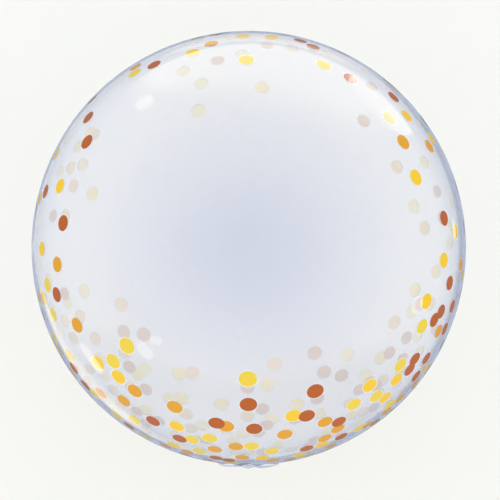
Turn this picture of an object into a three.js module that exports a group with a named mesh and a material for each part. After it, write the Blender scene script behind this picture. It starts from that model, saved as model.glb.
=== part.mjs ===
// A clear bubble balloon, blown up to a ball and lying on its back panel.
// Two round panels of stretchy clear film are heat-welded to each other round
// the rim, and the flat filling neck cut with them hangs from that seam.
//
// Millimetres, +Z up. The origin is the middle of the small flat spot that the
// ball rests on. The front panel looks up (+Z) and the neck is at -Y.

import * as THREE from 'three';

// ---- driving dimensions ----------------------------------------------------

const ballDiameter = 560;        // nominal 22 inch round, blown up
const restSpotDiameter = 72;     // where the film flattens under its own weight

const seamWidth = 3;             // rim weld, standing out past the ball
const plyThickness = 0.5;        // stand-in for one ply of film in the weld
const clearance = 0.3;           // left between faces that touch

const neckLength = 92;           // from the seam to the cut end, along the film
const neckWidth = 32;
const neckRootWidth = 78;        // where the neck flares into the rim
const neckFlareLength = 34;      // the flare's share of the length
const neckThickness = 2 * plyThickness;
const neckFoldRadius = 2.5;      // limp film folding down at the weld's edge

const turnSteps = 72;            // facets round the ball
const riseSteps = 20;            // facets from the rim up to the pole
const neckSteps = 18;            // facets along the hanging neck
const foldSteps = 5;             // facets round the fold at its root
const neckColumns = 8;           // facets across the neck

const filmTint = new THREE.Color(0.84, 0.88, 0.95);   // faintly cool
const filmRoughness = 0.06;
const panelOpacity = 0.3;
const neckOpacity = 0.4;         // two plies seen together

// ---- worked out from them --------------------------------------------------

const ballRadius = ballDiameter / 2;
const restSpotRadius = restSpotDiameter / 2;
const centreHeight = Math.sqrt(ballRadius ** 2 - restSpotRadius ** 2);
const seamRadius = ballRadius + seamWidth;
const plyInside = clearance / 2;                  // weld plane to a ply's inner face
const plyOutside = plyInside + plyThickness;      // weld plane to its outer face
const neckRootRadius = seamRadius + clearance;
const foldLength = neckFoldRadius * Math.PI / 2;

// ---- the two panels --------------------------------------------------------

// The outline of a panel from its rim to its pole, as (radius, height above the
// weld plane). The pole is cut off flat where the ball lies on poleSpotRadius.
function domeOutline(poleSpotRadius) {
  const rimAngle = Math.asin(plyOutside / ballRadius);
  const poleAngle = Math.acos(poleSpotRadius / ballRadius);
  const points = [];
  for (let step = 0; step <= riseSteps; step += 1) {
    const angle = THREE.MathUtils.lerp(rimAngle, poleAngle, step / riseSteps);
    points.push(new THREE.Vector2(ballRadius * Math.cos(angle), ballRadius * Math.sin(angle)));
  }
  return points;
}

// One panel as a solid of revolution: its dome, its ply of the weld, and the
// flat weld plane that closes it. The profile runs from the axis back to it.
function panelGeometry(poleSpotRadius, facesUp) {
  const dome = domeOutline(poleSpotRadius);
  const pole = dome[dome.length - 1];
  pole.x = poleSpotRadius;       // free of rounding, so a whole dome ends on the axis
  const outline = [
    new THREE.Vector2(0, plyInside),
    new THREE.Vector2(seamRadius, plyInside),
    new THREE.Vector2(seamRadius, plyOutside),
    ...dome,
  ];
  if (poleSpotRadius > 0) {
    outline.push(new THREE.Vector2(0, pole.y));
  }
  if (!facesUp) {
    outline.forEach((point) => point.setY(-point.y));
    outline.reverse();
  }
  const geometry = new THREE.LatheGeometry(outline, turnSteps);
  geometry.rotateX(Math.PI / 2);
  return geometry;
}

// ---- the filling neck ------------------------------------------------------

// The neck's middle line in the plane x = 0: out from the rim, round the fold,
// then straight down. Gives the outward place, the drop, and the turn made.
function neckPath(along) {
  const turn = Math.min(along / neckFoldRadius, Math.PI / 2);
  const hanging = Math.max(along - foldLength, 0);
  return {
    outward: neckRootRadius + neckFoldRadius * Math.sin(turn),
    drop: neckFoldRadius * (1 - Math.cos(turn)) + hanging,
    turn,
  };
}

// 1 at the rim, easing to 0 where the flare ends.
function flareShare(along) {
  const share = Math.min(along / neckFlareLength, 1);
  return (1 + Math.cos(Math.PI * share)) / 2;
}

// A point of the neck: along its length, across its width (-1 to 1), and on its
// outer (+1) or inner (-1) face. At the root it follows the round rim.
function neckPoint(along, across, face) {
  const flare = flareShare(along);
  const path = neckPath(along);
  const x = across * THREE.MathUtils.lerp(neckWidth, neckRootWidth, flare) / 2;
  const rimSag = neckRootRadius - Math.sqrt(neckRootRadius ** 2 - x ** 2);
  const offset = face * neckThickness / 2;
  return [
    x,
    -(path.outward - rimSag * flare + offset * Math.sin(path.turn)),
    -path.drop + offset * Math.cos(path.turn),
  ];
}

// Where the rows of facets lie along the neck: close together round the fold.
function neckStations() {
  const stations = [];
  for (let step = 0; step < foldSteps; step += 1) {
    stations.push(foldLength * step / foldSteps);
  }
  for (let step = 0; step <= neckSteps; step += 1) {
    stations.push(THREE.MathUtils.lerp(foldLength, neckLength, step / neckSteps));
  }
  return stations;
}

// The neck as a closed strip: each row is a loop of points that runs over the
// outer face and back over the inner one.
function neckGeometry() {
  const stations = neckStations();
  const positions = [];
  for (const along of stations) {
    for (let column = 0; column <= neckColumns; column += 1) {
      positions.push(...neckPoint(along, 2 * column / neckColumns - 1, 1));
    }
    for (let column = neckColumns; column >= 0; column -= 1) {
      positions.push(...neckPoint(along, 2 * column / neckColumns - 1, -1));
    }
  }
  const loop = 2 * (neckColumns + 1);
  const triangles = [];
  for (let row = 0; row + 1 < stations.length; row += 1) {
    for (let place = 0; place < loop; place += 1) {
      const next = (place + 1) % loop;
      const near = row * loop;
      const far = near + loop;
      triangles.push(near + place, far + place, far + next);
      triangles.push(near + place, far + next, near + next);
    }
  }
  const last = (stations.length - 1) * loop;
  for (let column = 0; column < neckColumns; column += 1) {
    const back = loop - 1 - column;
    triangles.push(column, column + 1, back - 1, column, back - 1, back);
    triangles.push(last + column, last + back, last + back - 1);
    triangles.push(last + column, last + back - 1, last + column + 1);
  }
  const geometry = new THREE.BufferGeometry();
  geometry.setAttribute('position', new THREE.Float32BufferAttribute(positions, 3));
  geometry.setIndex(triangles);
  return geometry;
}

// ---- the balloon -----------------------------------------------------------

function clearFilm(opacity) {
  return new THREE.MeshStandardMaterial({
    color: filmTint,
    roughness: filmRoughness,
    metalness: 0,
    transparent: true,
    opacity,
  });
}

function sheetOfFilm(name, geometry, opacity) {
  const mesh = new THREE.Mesh(geometry, clearFilm(opacity));
  mesh.name = name;
  mesh.position.z = centreHeight;
  return mesh;
}

const balloon = new THREE.Group();
balloon.add(sheetOfFilm('front_panel', panelGeometry(0, true), panelOpacity));
balloon.add(sheetOfFilm('back_panel', panelGeometry(restSpotRadius, false), panelOpacity));
balloon.add(sheetOfFilm('filling_neck', neckGeometry(), neckOpacity));

export default balloon;
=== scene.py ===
import math

import bpy
import numpy as np
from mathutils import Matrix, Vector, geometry


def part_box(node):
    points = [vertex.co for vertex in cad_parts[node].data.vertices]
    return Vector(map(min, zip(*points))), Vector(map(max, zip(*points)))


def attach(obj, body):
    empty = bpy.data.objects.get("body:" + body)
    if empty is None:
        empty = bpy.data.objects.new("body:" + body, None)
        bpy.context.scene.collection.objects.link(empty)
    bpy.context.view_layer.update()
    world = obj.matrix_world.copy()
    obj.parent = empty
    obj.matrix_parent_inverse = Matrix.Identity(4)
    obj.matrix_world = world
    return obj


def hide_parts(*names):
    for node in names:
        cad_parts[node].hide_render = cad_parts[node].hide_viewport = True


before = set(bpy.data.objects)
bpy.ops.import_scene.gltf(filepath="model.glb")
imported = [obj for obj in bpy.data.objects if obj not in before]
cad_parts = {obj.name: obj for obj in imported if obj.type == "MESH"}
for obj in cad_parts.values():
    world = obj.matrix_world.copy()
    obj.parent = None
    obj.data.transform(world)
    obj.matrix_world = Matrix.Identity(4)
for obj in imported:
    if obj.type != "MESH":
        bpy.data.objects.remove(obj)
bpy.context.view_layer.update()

# Sizes that the frame gives: the weld plane, the ball, the rim and the neck.
frontLow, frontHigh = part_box("front_panel")
backLow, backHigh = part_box("back_panel")
neckLow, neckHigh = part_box("filling_neck")
weldHeight = (frontLow.z + backHigh.z) / 2
ballRadius = frontHigh.z - weldHeight
seamWidth = frontHigh.x - ballRadius
rimArc = ballRadius * math.pi / 2          # along the film from a panel's centre to its rim
downAngle = -math.pi / 2                   # the neck's side, round the ball

film = {
    "thickness": 0.0003,
    "weldGap": 0.00002,       # between the two plies of the rim weld
    "latticeStep": 0.0095,    # spacing of the mesh points between the dots
    "latticeClear": 0.3,      # steps that they keep from a dot's edge
    "rimSteps": 420,          # mesh points round the rim
    "restSoftness": 0.0004,   # how gently the film turns into the flat spot
    "plySoftness": 0.0002,    # and into the rim weld
    "rippleHeight": 0.00045,  # wave of the rim weld's free edge, calm beside the neck
    "rippleWaves": ((61, 1.0, 0.0), (97, 0.7, 1.3), (23, 0.5, 0.4)),   # count, strength, phase
    "rippleCalm": (9, 16),    # degrees from the neck where it starts and is full
    "puckerHeight": 0.0011,   # gathers that run into the film from the neck
    "puckerReach": 0.075,
    "puckerFade": 3.0,        # how fast they die away inwards
    "puckerSpread": 11,       # degrees either side of the neck
    "puckerSideFade": 2.2,    # and sideways
    "puckerCount": 9,
    "normalStep": 0.0004,     # step over which the film's slope is taken
}

confetti = {
    "radius": 0.0411 * ballRadius,   # every dot is the same size on the flat film
    "baseWidth": 0.0009,             # pale under-print showing round each dot
    "corners": 32,
    "darts": 5200,
    "ringShare": 0.044,              # how thickly dots lie round the rim
    "ringStart": (0.48, 0.64),       # share of the panel where they begin and are full
    "foldShare": 0.31,               # how thickly they lie where the print gathers
    "foldStart": (0.34, 0.72),
    "foldSide": -92,                 # degrees round the panel to the middle of that side
    "foldSpread": (14, 100),         # degrees from there where it starts to thin and ends
    "foldTaper": 0.05,               # how much further out the gathered print begins at its ends
    "loneGap": 1.12,                 # least spacing of most dots, in diameters
    "touchGap": 0.60,                # and of the ones that overlap
    "touchShare": 0.30,
    "inkShares": (0.25, 0.25, 0.22, 0.28),   # yellow, lemon, amber, copper
    "frontSeed": 1216,
    "backSeed": 1692,
}


def smooth(low, high, value):
    # 0 up to low, 1 from high on, an S curve between
    share = np.clip((value - low) / (high - low), 0, 1)
    return share * share * (3 - 2 * share)


def softFloor(value, floor, softness):
    # the larger of value and floor, with the corner between them rounded
    over = value - floor
    return floor + (over + np.sqrt(over * over + softness * softness)) / 2


def turnFrom(azimuth, middle):
    # angle from a middle direction, from -pi to pi
    return (azimuth - middle + math.pi) % (2 * math.pi) - math.pi


def filmPoints(flat, side, depth):
    # Flat film to blown-up ball: distance from the sheet's centre becomes arc length from
    # the pole, and past the rim it runs on level as the weld. side is +1 for the front
    # panel and -1 for the back one, and depth is how far the face lies inside the film.
    arc = np.hypot(flat[:, 0], flat[:, 1])
    azimuth = np.arctan2(flat[:, 1], flat[:, 0])
    polar = np.minimum(arc, rimArc) / ballRadius
    beyond = np.maximum(arc - rimArc, 0)
    toNeck = turnFrom(azimuth, downAngle)
    spread = math.radians(film["puckerSpread"])
    inwards = (rimArc - np.minimum(arc, rimArc)) / film["puckerReach"]
    fade = np.exp(-inwards ** 2 * film["puckerFade"] - (toNeck / spread) ** 2 * film["puckerSideFade"])
    wave = np.cos(toNeck / spread * math.pi * film["puckerCount"] / 2)
    pucker = film["puckerHeight"] * wave * fade
    radius = ballRadius - depth - pucker * np.sin(polar) ** 2
    outward = radius * np.sin(polar) + beyond
    ply = film["thickness"] - depth
    rise = softFloor(radius * np.cos(polar), ply, film["plySoftness"])
    ripple = sum(strength * np.sin(azimuth * count + phase) for count, strength, phase in film["rippleWaves"])
    ripple = film["rippleHeight"] * ripple * smooth(*film["rippleCalm"], np.degrees(np.abs(toNeck)))
    height = weldHeight + side * (film["weldGap"] + rise) + ripple * beyond / seamWidth
    if side < 0:
        height = softFloor(height, depth + film["restSoftness"] / 4, film["restSoftness"])
    return np.stack([outward * np.cos(azimuth), outward * np.sin(azimuth), height], 1)


def filmNormals(flat, side, depth):
    # the cross product of two short steps on the sheet, turned to face outwards
    step = film["normalStep"]
    across = filmPoints(flat + [step, 0], side, depth) - filmPoints(flat - [step, 0], side, depth)
    along = filmPoints(flat + [0, step], side, depth) - filmPoints(flat - [0, step], side, depth)
    normal = np.cross(across, along) * side
    return normal / np.linalg.norm(normal, axis=1)[:, None]


def dotShare(place):
    # How thickly dots lie at points of the sheet: a thin even ring that begins some way
    # out from the middle, and a drift of them on one side that reaches further in.
    reach = np.hypot(place[:, 0], place[:, 1]) / rimArc
    azimuth = np.arctan2(place[:, 1], place[:, 0])
    away = np.degrees(np.abs(turnFrom(azimuth, math.radians(confetti["foldSide"]))))
    towards = 1 - smooth(*confetti["foldSpread"], away)
    start, full = confetti["foldStart"]
    ring = confetti["ringShare"] * smooth(*confetti["ringStart"], reach)
    start += confetti["foldTaper"] * (1 - towards)
    fold = confetti["foldShare"] * towards * smooth(start, full, reach)
    return ring + fold


def scatterDots(seed):
    # darts at the flat sheet, kept where the print is thick and no dot is too near
    random = np.random.default_rng(seed)
    edge = rimArc + seamWidth
    darts = random.uniform(-edge, edge, (confetti["darts"], 2))
    luck = random.uniform(0, 1, confetti["darts"])
    touches = random.uniform(0, 1, confetti["darts"]) < confetti["touchShare"]
    inks = random.choice(len(inkColours), confetti["darts"], p=confetti["inkShares"])
    wanted = (luck < dotShare(darts)) & (np.hypot(*darts.T) < edge)
    gaps = 2 * confetti["radius"] * np.where(touches, confetti["touchGap"], confetti["loneGap"])
    kept = []
    for dart in np.flatnonzero(wanted):
        apart = np.hypot(*(darts[kept] - darts[dart]).T) if kept else np.array([np.inf])
        if apart.min() > gaps[dart]:
            kept.append(dart)
    return darts[kept], inks[kept]


def circle(radius, steps):
    turn = np.arange(steps) * 2 * math.pi / steps
    return radius * np.stack([np.cos(turn), np.sin(turn)], 1)


def sheetMesh(centres):
    # Triangles of the flat sheet that follow the edge of every dot: a triangular lattice,
    # thinned near the dots, joined to the dots' outlines and to three rings at the weld.
    step = film["latticeStep"]
    edge = rimArc + seamWidth
    radius = confetti["radius"]
    rings = [circle(arc, film["rimSteps"]) for arc in (rimArc, rimArc + seamWidth / 2, edge)]
    rows = np.arange(-edge, edge, step * math.sqrt(3) / 2)
    columns = np.arange(-edge, edge, step)
    x, y = np.meshgrid(columns, rows)
    x = x + (np.arange(len(rows)) % 2 * step / 2)[:, None]
    lattice = np.stack([x.ravel(), y.ravel()], 1)
    lattice = lattice[np.hypot(*lattice.T) < rimArc - step / 2]
    apart = np.hypot(*(lattice[:, None] - centres[None]).transpose(2, 0, 1))
    lattice = lattice[(np.abs(apart - radius) > step * film["latticeClear"]).all(1)]
    outlines = []
    for size in (radius, radius + confetti["baseWidth"]):
        outlines += [centre + circle(size, confetti["corners"]) for centre in centres]
    loops = rings + outlines
    points = np.concatenate(loops + [lattice])
    edges = []
    first = 0
    for loop in loops:
        place = np.arange(len(loop))
        edges.append(np.stack([first + place, first + np.roll(place, -1)], 1))
        first += len(loop)
    edges = np.concatenate(edges)
    result = geometry.delaunay_2d_cdt(points.tolist(), edges.tolist(), [], 0, 1e-7, False)
    flat = np.array([tuple(v) for v in result[0]])
    faces = np.array(result[2])
    middle = flat[faces].mean(1)
    faces = faces[np.hypot(*middle.T) < edge * 0.9999]   # drops slivers outside the last ring
    used = np.unique(faces)
    renumber = np.zeros(len(flat), int)
    renumber[used] = np.arange(len(used))
    return flat[used], renumber[faces]


def cover(middles, centres, inks):
    # for each face: the darkest ink that lies there (or -1), any paler one under the amber,
    # and any under-print
    apart = np.hypot(*(middles[:, None] - centres[None]).transpose(2, 0, 1))
    inked = apart < confetti["radius"]
    based = (apart < confetti["radius"] + confetti["baseWidth"]).any(1)
    top = np.where(inked, inks, -1).max(1)
    palest = np.where(inked, inks, len(inkColours)).min(1)
    amber = list(inkColours).index("amber")
    return top, (top == amber) & (palest < amber), based


def openEdges(faces):
    # edges that only one face uses, in that face's direction
    pairs = np.concatenate([faces[:, [0, 1]], faces[:, [1, 2]], faces[:, [2, 0]]])
    key = np.sort(pairs, 1)
    _, index, count = np.unique(key, axis=0, return_index=True, return_counts=True)
    return pairs[index[count == 1]]


def makeMesh(name, points, faces, normals=None, slots=None):
    mesh = bpy.data.meshes.new(name)
    mesh.from_pydata(points.tolist(), [], faces.tolist())
    if slots is not None:
        mesh.polygons.foreach_set("material_index", slots.astype(np.int32))
    mesh.polygons.foreach_set("use_smooth", np.ones(len(mesh.polygons), bool))
    if normals is not None:
        mesh.normals_split_custom_set_from_vertices(normals.tolist())
    mesh.update()
    piece = bpy.data.objects.new(name, mesh)
    bpy.context.scene.collection.objects.link(piece)
    return piece


# slots of a printed panel: "ink" and "underside" are the first of one for each ink
slotOf = {"clear": 0, "weld": 1, "base": 2, "ink": 3, "overprint": 7, "baseUnderside": 8, "underside": 9}


def printedPanel(name, side, seed):
    # One panel as a closed skin: an outer face, an inner face on the same triangles, and
    # the thin cut edge that joins them round the rim.
    centres, inks = scatterDots(seed)
    flat, faces = sheetMesh(centres)
    outer = filmPoints(flat, side, 0.0)
    inner = filmPoints(flat, side, film["thickness"])
    outerNormals = filmNormals(flat, side, 0.0)
    innerNormals = -filmNormals(flat, side, film["thickness"])
    rim = openEdges(faces)
    count = len(flat)
    outerFaces = faces if side > 0 else faces[:, ::-1]
    innerFaces = outerFaces[:, ::-1] + count
    wall = np.concatenate([np.stack([rim[:, 1], rim[:, 0], rim[:, 0] + count], 1),
                           np.stack([rim[:, 1], rim[:, 0] + count, rim[:, 1] + count], 1)])
    if side < 0:
        wall = wall[:, ::-1]
    middles = flat[faces].mean(1)
    top, mixed, based = cover(middles, centres, inks)
    welded = np.hypot(*middles.T) > rimArc
    outerSlots = np.where(based, slotOf["base"], slotOf["clear"])
    outerSlots = np.where(top >= 0, slotOf["ink"] + top, outerSlots)
    outerSlots = np.where(mixed, slotOf["overprint"], outerSlots)
    innerSlots = np.where(based, slotOf["baseUnderside"], slotOf["clear"])
    innerSlots = np.where(top >= 0, slotOf["underside"] + top, innerSlots)
    outerSlots[welded] = slotOf["weld"]
    innerSlots[welded] = slotOf["weld"]
    wallSlots = np.full(len(wall), slotOf["weld"])
    piece = makeMesh(
        name,
        np.concatenate([outer, inner]),
        np.concatenate([outerFaces, innerFaces, wall]),
        np.concatenate([outerNormals, innerNormals]),
        np.concatenate([outerSlots, innerSlots, wallSlots]),
    )
    print(name, len(centres), "dots", len(piece.data.polygons), "faces")
    return piece


class Wire:
    # a node's output that can stand in sums
    def __init__(self, tree, socket):
        self.tree = tree
        self.socket = socket

    def combine(self, operation, first, second):
        return self.tree.node("ShaderNodeMath", {"operation": operation}, {0: first, 1: second})

    def __add__(self, other):
        return self.combine("ADD", self, other)

    def __radd__(self, other):
        return self.combine("ADD", other, self)

    def __rsub__(self, other):
        return self.combine("SUBTRACT", other, self)

    def __mul__(self, other):
        return self.combine("MULTIPLY", self, other)

    def __rmul__(self, other):
        return self.combine("MULTIPLY", other, self)

    def __pow__(self, other):
        return self.combine("POWER", self, other)


class Tree:
    # a material's or a world's nodes, added one call at a time
    def __init__(self, owner):
        owner.use_nodes = True
        self.nodes = owner.node_tree.nodes
        self.links = owner.node_tree.links
        self.nodes.clear()

    def node(self, kind, settings=None, inputs=None, output=0):
        made = self.nodes.new(kind)
        for setting, value in (settings or {}).items():
            setattr(made, setting, value)
        for name, value in (inputs or {}).items():
            if isinstance(value, Wire):
                self.links.new(value.socket, made.inputs[name])
            else:
                made.inputs[name].default_value = value
        return Wire(self, made.outputs[output]) if len(made.outputs) else made

    def mix(self, share, first, second):
        return self.node("ShaderNodeMixShader", {}, {0: share, 1: first, 2: second})

    def blend(self, share, first, second):
        return self.node("ShaderNodeMix", {"data_type": "RGBA"}, {
            "Factor": share, "A": first, "B": second}, "Result")

    def surface(self, shader):
        self.node("ShaderNodeOutputMaterial", {}, {"Surface": shader})


def colour(red, green, blue):
    return (red, green, blue, 1.0)


filmLook = {
    "tint": colour(0.980, 0.983, 0.995),       # through the film face-on
    "edgeTint": colour(0.80, 0.84, 0.90),      # and edge-on
    "edgePower": 6.0,
    "mirror": 0.04,                            # share mirrored face-on
    "mirrorPower": 5.0,                        # how late it grows towards edge-on
    "roughness": 0.03,
    "grainScale": 60.0,
    "grainDepth": 0.8,                         # how far the roughness varies round its own value
}
weldLook = filmLook | {"tint": colour(0.80, 0.83, 0.88), "roughness": 0.12}
inkLook = {"roughness": 0.6, "coat": 1.0, "grainScale": 220.0, "grainDepth": 0.6}
baseColour = colour(0.76, 0.84, 0.93)
baseUnderside = colour(0.84, 0.85, 0.88)
inkColours = {
    "yellow": colour(0.89, 0.57, 0.030),
    "lemon": colour(0.83, 0.62, 0.065),
    "amber": colour(0.74, 0.35, 0.022),
    "copper": colour(0.46, 0.105, 0.010),
}
overprintColour = colour(0.60, 0.24, 0.05)
undersideColours = {
    "yellow": colour(0.93, 0.86, 0.64),
    "lemon": colour(0.92, 0.88, 0.70),
    "amber": colour(0.89, 0.80, 0.67),
    "copper": colour(0.80, 0.70, 0.62),
}


def grainy(tree, look):
    # a roughness that varies a little over the surface
    place = tree.node("ShaderNodeTexCoord", {}, {}, "Object")
    grain = tree.node("ShaderNodeTexNoise", {}, {"Vector": place, "Scale": look["grainScale"]}, "Fac")
    return look["roughness"] * (1 - look["grainDepth"] / 2 + grain * look["grainDepth"])


def filmMaterial(name, look):
    # clear film: what is behind shows through a faint tint that deepens where the film is
    # seen edge-on, and the share that it mirrors grows with the same angle
    material = bpy.data.materials.new(name)
    tree = Tree(material)
    facing = tree.node("ShaderNodeLayerWeight", {}, {"Blend": 0.5}, "Facing")
    mirror = look["mirror"] + (1 - look["mirror"]) * facing ** look["mirrorPower"]
    clear = tree.node("ShaderNodeBsdfTransparent", {}, {"Color": look["tint"]})
    edge = tree.node("ShaderNodeBsdfTransparent", {}, {"Color": look["edgeTint"]})
    gloss = tree.node("ShaderNodeBsdfGlossy", {}, {"Roughness": grainy(tree, look)})
    through = tree.mix(facing ** look["edgePower"], clear, edge)
    tree.surface(tree.mix(mirror, through, gloss))
    return material


def inkMaterial(name, base):
    # flat printed ink, a little uneven like any screen print, under a clear gloss
    material = bpy.data.materials.new(name)
    tree = Tree(material)
    tree.surface(tree.node("ShaderNodeBsdfPrincipled", {}, {
        "Base Color": base, "Roughness": grainy(tree, inkLook),
        "Specular IOR Level": 0.0, "Coat Weight": inkLook["coat"], "Coat Roughness": 0.0}))
    return material


print("film")
filmMaterials = [filmMaterial("clearFilm", filmLook), filmMaterial("weldFilm", weldLook)]
printMaterials = [inkMaterial("basePrint", baseColour)]
printMaterials += [inkMaterial(ink + "Ink", base) for ink, base in inkColours.items()]
printMaterials += [inkMaterial("overprint", overprintColour), inkMaterial("baseUnderside", baseUnderside)]
printMaterials += [inkMaterial(ink + "Underside", base) for ink, base in undersideColours.items()]

frontFilm = printedPanel("front_film", 1, confetti["frontSeed"])
backFilm = printedPanel("back_film", -1, confetti["backSeed"])
for panel, node in ((frontFilm, "front_panel"), (backFilm, "back_panel")):
    for material in filmMaterials + printMaterials:
        panel.data.materials.append(material)
    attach(panel, "root")
    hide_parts(node)

print("neck")
neck = {
    "halfWidth": 0.016,
    "flareLength": 0.034,      # from the rim to where the sides run straight
    "foldRadius": 0.0025,
    "ply": 0.0003,
    "pillow": 0.0014,          # air left between the plies
    "sideWeld": 0.0028,        # welded strip down each side
    "sealStart": 0.040,        # crimped band that shuts the neck, from the rim
    "sealLength": 0.008,
    "sealPitch": 0.0016,
    "sealRidge": 0.00022,
    "sealEdge": 0.0006,        # over which its ridges rise and fall
    "pillowWidth": 0.84,       # share of the width that the air parts
    "pillowStart": (0.004, 0.022),   # from the rim, where it begins and is full
    "pillowEnd": 0.014,        # it dies away over this length before the seal
    "pillowAgain": 0.012,      # and comes back over this one past it
    "tailThins": (0.7, 0.6),   # share of the length from which it thins, and by how much
    "gatherHeight": 0.0011,    # soft folds that run down from the flare
    "gatherCount": 2.5,
    "gatherPhase": 0.5,
    "gatherStart": (0.001, 0.012),
    "gatherEnd": (0.02, 0.045),
    "swing": 0.0035,           # how far the hanging tail bows
    "swingTurn": 0.9,          # in half waves
    "swingLean": 0.5,          # how much more it bows at one side
    "rows": (8, 46, 51, 50),   # mesh rows round the fold, down to the seal, over it and past it
    "columns": 40,
    "sideColumns": 5,
    "sharpAngle": 50,          # degrees from which an edge shows as an edge
}
neckLook = filmLook | {"tint": colour(0.94, 0.95, 0.975), "mirror": 0.07, "roughness": 0.06}
neckWeldLook = filmLook | {"tint": colour(0.86, 0.885, 0.93), "mirror": 0.07, "roughness": 0.2}
neckRootHalf = (neckHigh.x - neckLow.x) / 2
neckLength = weldHeight - neckLow.z + (math.pi / 2 - 1) * neck["foldRadius"]
sealStart = neck["sealStart"]
sealEnd = sealStart + neck["sealLength"]
sideWeldStart = 1 - neck["sideWeld"] / neck["halfWidth"]   # in half widths from the middle


def neckPoints(along, across, face):
    # The neck's middle line runs out from the rim, round the fold and down, bowing a
    # little. Across it the film is flat and narrows by half a cosine wave over the flare.
    # face is +1 or -1: the plies part by a pillow that is nil at the welds and the seal.
    turn = np.minimum(along / neck["foldRadius"], math.pi / 2)
    hanging = np.maximum(along - neck["foldRadius"] * math.pi / 2, 0)
    flare = (1 + np.cos(math.pi * np.minimum(along / neck["flareLength"], 1))) / 2
    x = across * (neck["halfWidth"] + (neckRootHalf - neck["halfWidth"]) * flare)
    rimRadius = ballRadius + seamWidth
    sag = (rimRadius - np.sqrt(rimRadius ** 2 - x ** 2)) * flare
    drop = neck["foldRadius"] * (1 - np.cos(turn)) + hanging
    edge = neck["sealEdge"]
    inSeal = smooth(sealStart - edge, sealStart, along) * (1 - smooth(sealEnd, sealEnd + edge, along))
    above = smooth(*neck["pillowStart"], along)
    above = above * (1 - smooth(sealStart - neck["pillowEnd"], sealStart, along))
    thinsFrom, thins = neck["tailThins"]
    below = smooth(sealEnd, sealEnd + neck["pillowAgain"], along)
    below = below * (1 - thins * smooth(thinsFrom, 1, along / neckLength))
    crown = np.maximum(1 - (across / neck["pillowWidth"]) ** 2, 0) ** 1.5
    pillow = neck["pillow"] * (above + below) * crown
    ridges = neck["sealRidge"] * inSeal * np.cos(along / neck["sealPitch"] * 2 * math.pi)
    gathered = smooth(*neck["gatherStart"], along) * (1 - smooth(*neck["gatherEnd"], along))
    folds = np.cos(across * math.pi * neck["gatherCount"] + neck["gatherPhase"])
    gather = neck["gatherHeight"] * folds * gathered
    bow = neck["swing"] * np.sin(hanging / neckLength * math.pi * neck["swingTurn"])
    bow = bow * (1 + neck["swingLean"] * across)
    offset = face * (neck["ply"] + pillow) + ridges + gather
    outward = rimRadius + neck["foldRadius"] * np.sin(turn) - sag + bow
    return np.stack([x, -(outward + offset * np.sin(turn)), weldHeight - drop + offset * np.cos(turn)], -1)


def neckStations():
    # rows along the neck: close together round the fold and over the crimped band
    ends = (0, neck["foldRadius"] * math.pi / 2, sealStart, sealEnd, neckLength)
    stretches = [np.linspace(*ends[k:k + 2], rows) for k, rows in enumerate(neck["rows"])]
    return np.unique(np.concatenate(stretches))


def neckColumns():
    # places across the neck, with an edge where each side weld begins
    side = np.linspace(sideWeldStart, 1, neck["sideColumns"])
    middle = np.linspace(-sideWeldStart, sideWeldStart, neck["columns"])
    return np.unique(np.concatenate([-side, middle, side]))


def makeNeck():
    # each row is a loop over the outer face and back over the inner one, shut at the ends
    stations = neckStations()
    columns = neckColumns()
    across = np.concatenate([columns, columns[::-1]])
    face = np.repeat([1.0, -1.0], len(columns))
    loop = len(across)
    points = neckPoints(stations[:, None], across[None], face[None]).reshape(-1, 3)
    row = np.arange(len(stations) - 1)[:, None] * loop
    here = np.arange(loop)[None]
    after = (here + 1) % loop
    quads = np.stack([row + here, row + here + loop, row + after + loop, row + after], -1).reshape(-1, 4)
    strip = np.arange(len(columns) - 1)
    cap = np.stack([strip, strip + 1, loop - 2 - strip, loop - 1 - strip], 1)
    last = (len(stations) - 1) * loop
    faces = np.concatenate([quads, cap, last + cap[:, ::-1]])
    along = stations[faces[:, 0] // loop]
    middle = across[faces % loop].mean(1)
    hair = 1e-6   # for rounding
    sealed = (along >= sealStart - hair) & (along < sealEnd - hair)
    side = np.abs(middle) > sideWeldStart
    piece = makeMesh("neck_film", points, faces, None, np.where(sealed | side, 1, 0))
    piece.data.set_sharp_from_angle(angle=math.radians(neck["sharpAngle"]))
    piece.data.materials.append(filmMaterial("neckFilm", neckLook))
    piece.data.materials.append(filmMaterial("neckWeld", neckWeldLook))
    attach(piece, "root")
    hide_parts("filling_neck")


makeNeck()

print("floor, lights and camera")
studio = {
    "floorSize": 30.0,
    "floorDrop": 0.0004,
    "floorColour": colour(0.89, 0.90, 0.862),
    "zenith": colour(0.95, 0.95, 0.95),         # the dome that lights the scene
    "horizon": colour(1.45, 1.45, 1.45),
    "mirroredZenith": colour(0.50, 0.62, 1.30),  # the dome as gloss shows it
    "mirroredHorizon": colour(1.0, 1.0, 1.08),
    "mirroredFloor": colour(1.05, 1.06, 1.12),
    "inkDim": 0.3,                               # how much of that the inks' gloss shows
    "backdrop": colour(0.930, 0.939, 0.896),     # and as the camera sees it past the floor
    "cameraDistance": 8.0,      # in ball radii
    "frameReach": 1.1638,       # half the frame at the ball's middle, in ball radii
    "cameraOffset": (0.0016, -0.0026),
}

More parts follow.
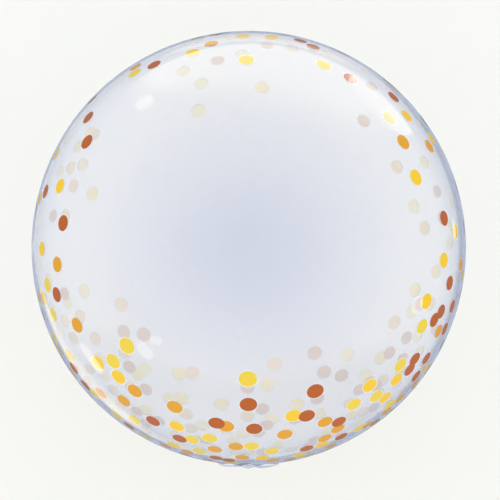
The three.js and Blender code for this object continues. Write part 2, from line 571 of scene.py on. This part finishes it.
# Cards that only gloss shows. Each is given by where it shows on the ball from straight above:
# turn is in degrees round the ball, share in parts of its radius, soft fades the inner, outer
# and end edges, and falloff dims it from a share of its width on, down to a share of itself
# at the outer edge. Lean moves the widest place along it (1 is the middle), round is how full
# its ends are, and hang is 1 where its outer edge runs with the ball's and 0 for an even oval.
# Cards lie on the floor or line a dome, in ball radii, and show in the ball's near or far wall.
# Film is the colour that the clear film mirrors, and ink the grey that the inks' gloss does.
# What the cards of one kind share stands here once.
plainCard = {"falloff": (0, 1), "lean": 1.0, "round": 0.3, "hang": 1.0, "far": False}
shadeCard = plainCard | {"ink": 0.3}
ovalCard = plainCard | {"round": 0.5, "hang": 0.0}
farCard = ovalCard | {"soft": (0.12, 0.12, 0.12), "ink": 0.3, "far": True}
cards = {
    "steps": (64, 40),
    "domeRadius": 5.0,
    "lift": 0.001,            # of the lowest card
    "gap": 0.0003,            # from one card to the next
    "shapes": {
        # shade in the film's reflection along the bottom, darker and bluer than the floor that gloss shows,
        # and a brighter wash in the inks' gloss
        "lowShadeWash": plainCard | {
            "turn": (200, 338), "share": (0.57, 0.972), "soft": (0.34, 0.05, 0.40),
            "falloff": (0.60, 0.35), "round": 0.35, "film": colour(0.02, 0.15, 0.50), "ink": 0.6},
        # soft shade in the film's reflection towards the right edge, a little dimmer than the floor that
        # gloss shows
        "rightSoftShade": shadeCard | {
            "turn": (-38, 50), "share": (0.88, 0.985), "soft": (0.7, 0.05, 0.4),
            "film": colour(0.83, 0.85, 0.93)},
        "crescent": plainCard | {
            "turn": (34, 131), "share": (0.60, 0.950), "soft": (0.62, 0.02, 0.3),
            "falloff": (0.30, 0.75), "lean": 0.8, "round": 0.7, "hang": 0.85,
            "film": colour(2.08, 1.93, 1.74), "ink": 3.0},
        "rightWindow": plainCard | {
            "turn": (34.5, 60), "share": (0.834, 0.934), "soft": (0.10, 0.04, 0.10),
            "falloff": (0.30, 0.85), "round": 0.55, "hang": 0.85,
            "film": colour(2.22, 2.06, 1.86), "ink": 5.5},
        "topRim": plainCard | {
            "turn": (55, 118), "share": (0.950, 0.991), "soft": (0.15, 0.7, 0.4),
            "hang": 0.6, "film": colour(1.48, 1.40, 1.32), "ink": 1.0},
        "leftRim": plainCard | {
            "turn": (186, 243), "share": (0.924, 0.978), "soft": (0.6, 0.1, 0.35),
            "lean": 1.6, "round": 0.75, "hang": 0.92, "film": colour(1.62, 1.50, 1.36), "ink": 1.3},
        "leftWindow": plainCard | {
            "turn": (209, 221), "share": (0.868, 0.910), "soft": (0.25, 0.2, 0.2),
            "hang": 0.3, "film": colour(1.80, 1.68, 1.52), "ink": 3.5},
        "upperSpot": ovalCard | {
            "turn": (121.6, 129.6), "share": (0.771, 0.881), "soft": (0.4, 0.4, 0.4),
            "film": colour(2.40, 2.22, 2.04), "ink": 4.0},
        "rightSpot": ovalCard | {
            "turn": (-22.2, -15.4), "share": (0.794, 0.850), "soft": (0.2, 0.2, 0.2),
            "film": colour(2.35, 2.18, 2.00), "ink": 4.0},
        "rightRim": ovalCard | {
            "turn": (2, 9), "share": (0.942, 0.962), "soft": (0.4, 0.4, 0.4),
            "film": colour(1.60, 1.50, 1.40), "ink": 2.0},
        "farOval": farCard | {
            "turn": (220.5, 229), "share": (0.646, 0.705), "film": colour(3.0, 2.8, 2.5)},
        "farSpot": farCard | {
            "turn": (222.2, 227.8), "share": (0.578, 0.634), "film": colour(2.6, 2.4, 2.2)},
        "rightShade": shadeCard | {
            "turn": (-128, 66), "share": (0.966, 0.999), "soft": (0.10, 0.05, 0.3),
            "round": 0.6, "film": colour(0.50, 0.57, 0.76)},
        "lowShade": shadeCard | {
            "turn": (176, 300), "share": (0.979, 0.999), "soft": (0.15, 0.05, 0.3),
            "round": 0.4, "film": colour(0.48, 0.54, 0.73)},
        "rimShade": shadeCard | {
            "turn": (-180, 180), "share": (0.990, 0.9997), "soft": (0.4, 0.05, 0.001),
            "round": 0.0, "film": colour(0.70, 0.76, 0.94)},
    },
}


def mirroredPlace(turn, share, far, lift):
    # Where the camera's line of sight ends after the ball mirrors it. It meets the ball at an
    # angle whose sine is its distance from the ball's centre in radii. The near wall throws
    # it off at that angle from the surface, and the far wall throws it back, out of the ball's
    # other side. It runs on to the floor or to a dome round the ball, whichever is nearer, and
    # stops short by the lift.
    distance = studio["cameraDistance"]
    sight = np.arctan(share * math.tan(math.asin(1 / distance)))
    meets = np.arcsin(np.minimum(distance * np.sin(sight), 1))
    if far:
        across, up = np.sin(3 * meets + sight), np.cos(3 * meets + sight)
        leaves = 2 * meets + sight
        turn = turn + math.pi
    else:
        across, up = np.sin(meets - sight), np.cos(meets - sight)
        leaves = 2 * meets - sight
    outward, upward = np.sin(leaves), np.cos(leaves)
    toFloor = (up + weldHeight / ballRadius) / np.maximum(-upward, 1e-6)
    along = across * outward + up * upward
    toDome = np.sqrt(along ** 2 + cards["domeRadius"] ** 2 - 1) - along
    reach = np.minimum(toFloor, toDome) - lift / ballRadius
    away = across + reach * outward
    height = weldHeight / ballRadius + up + reach * upward
    return ballRadius * np.stack([away * np.cos(turn), away * np.sin(turn), height], -1)


def makeCard(name, card, lift, material):
    # A lens-shaped patch: u runs round the ball and v inwards from the patch's outer edge.
    # Its depth follows 4w(1 - w), w being u to the power of the lean, raised to "round".
    u, v = np.meshgrid(*(np.linspace(0, 1, steps) for steps in cards["steps"]), indexing="ij")
    start, end = np.radians(card["turn"])
    inner, outer = card["share"]
    w = u ** card["lean"]
    depth = (4 * w * (1 - w)).clip(0) ** card["round"]
    share = outer - (outer - inner) * ((1 - depth) * (1 - card["hang"]) / 2 + depth * v)
    points = mirroredPlace(start + (end - start) * u, share, card["far"], lift)
    softInner, softOuter, softEnds = card["soft"]
    glow = smooth(0, softInner, 1 - v) * smooth(0, softOuter, v)
    glow = glow * smooth(0, softEnds, 1 - np.abs(2 * u - 1))
    full, least = card["falloff"]
    glow = glow * np.interp(v, (0, full), (least, 1))
    index = np.arange(u.size).reshape(u.shape)
    quads = np.stack([index[:-1, :-1], index[:-1, 1:], index[1:, 1:], index[1:, :-1]], -1).reshape(-1, 4)
    piece = makeMesh(name, points.reshape(-1, 3), quads)
    piece.data.attributes.new("glow", "FLOAT", "POINT").data.foreach_set("value", glow.ravel())
    onlyInGloss(piece, material)


def onlyInGloss(piece, material):
    piece.data.materials.append(material)
    piece.visible_camera = False
    piece.visible_diffuse = False
    piece.visible_shadow = False
    piece.visible_transmission = False


def seenThrough(tree):
    # 1 for a reflection in the far wall, which has crossed more film than one in the near wall
    # (each face of the film that the light passes counts one)
    crossed = tree.node("ShaderNodeLightPath", {}, {}, "Transparent Depth")
    return tree.node("ShaderNodeMath", {"operation": "GREATER_THAN"}, {0: crossed, 1: 2.5})


def asMirrored(tree, film, ink):
    # a colour in the film's slightly soft gloss, and another one in the inks' sharp gloss
    sharp = tree.node("ShaderNodeLightPath", {}, {}, "Is Singular Ray")
    return tree.blend(sharp, film, ink)


def grey(level):
    return colour(level, level, level)


def dimmed(full):
    # a colour of the surroundings as the inks' gloss shows it
    return tuple(channel * studio["inkDim"] for channel in full)


def cardMaterial(name, card):
    # light or shade that fades out to nothing towards the card's soft edges
    material = bpy.data.materials.new(name)
    tree = Tree(material)
    glow = tree.node("ShaderNodeAttribute", {"attribute_name": "glow"}, {}, "Fac")
    seen = seenThrough(tree) if card["far"] else 1 - seenThrough(tree)
    light = tree.node("ShaderNodeEmission", {}, {"Color": asMirrored(tree, card["film"], grey(card["ink"]))})
    nothing = tree.node("ShaderNodeBsdfTransparent", {}, {"Color": grey(1)})
    tree.surface(tree.mix(glow * seen, nothing, light))
    return material


def makeCards():
    for level, (name, card) in enumerate(cards["shapes"].items()):
        makeCard(name, card, cards["lift"] + cards["gap"] * level, cardMaterial(name + "Light", card))


def flatSquare(name, size, height):
    half = size / 2
    corners = np.array([[-half, -half], [half, -half], [half, half], [-half, half]])
    return makeMesh(name, np.column_stack([corners, np.full(4, height)]), np.array([[0, 1, 2, 3]]))


def makeFloor():
    # the floor, and just over it the evenly lit floor that gloss shows in its place
    floor = flatSquare("floor", studio["floorSize"], -studio["floorDrop"])
    material = bpy.data.materials.new("paleFloor")
    tree = Tree(material)
    tree.surface(tree.node("ShaderNodeBsdfDiffuse", {}, {"Color": studio["floorColour"]}))
    floor.data.materials.append(material)
    sheen = flatSquare("mirroredFloor", studio["floorSize"], -studio["floorDrop"] / 2)
    material = bpy.data.materials.new("mirroredFloor")
    tree = Tree(material)
    seen = asMirrored(tree, studio["mirroredFloor"], dimmed(studio["mirroredFloor"]))
    tree.surface(tree.node("ShaderNodeEmission", {}, {"Color": seen}))
    onlyInGloss(sheen, material)


def makeWorld():
    # A dome that is brighter towards the horizon lights what is matt. Gloss mirrors a dimmer,
    # cooler one that meets the floor's brightness, and the camera sees it level with the floor.
    world = bpy.data.worlds.new("studioDome")
    bpy.context.scene.world = world
    tree = Tree(world)
    look = tree.node("ShaderNodeTexCoord", {}, {}, "Generated")
    up = tree.node("ShaderNodeSeparateXYZ", {}, {"Vector": look}, "Z")
    lighting = tree.blend(up, studio["horizon"], studio["zenith"])
    mirrored = tree.blend(up, studio["mirroredHorizon"], studio["mirroredZenith"])
    inInk = tree.blend(up, dimmed(studio["mirroredHorizon"]), dimmed(studio["mirroredZenith"]))
    camera = tree.node("ShaderNodeLightPath", {}, {}, "Is Camera Ray")
    bounced = tree.node("ShaderNodeLightPath", {}, {}, "Diffuse Depth")
    lit = tree.node("ShaderNodeMath", {"operation": "GREATER_THAN"}, {0: bounced, 1: 0.5})
    seen = tree.blend(lit, asMirrored(tree, mirrored, inInk), lighting)
    seen = tree.blend(camera, seen, studio["backdrop"])
    light = tree.node("ShaderNodeBackground", {}, {"Color": seen})
    tree.node("ShaderNodeOutputWorld", {}, {"Surface": light})


def makeCamera():
    data = bpy.data.cameras.new("camera")
    data.sensor_width = 36.0
    data.lens = data.sensor_width / 2 * studio["cameraDistance"] / studio["frameReach"]
    data.clip_end = 100.0
    camera = bpy.data.objects.new("camera", data)
    x, y = studio["cameraOffset"]
    camera.location = (x, y, weldHeight + studio["cameraDistance"] * ballRadius)
    bpy.context.scene.collection.objects.link(camera)
    bpy.context.scene.camera = camera


makeFloor()
makeCards()
makeWorld()
makeCamera()
scene = bpy.context.scene
scene.view_settings.view_transform = "Standard"
scene.cycles.transparent_max_bounces = 32
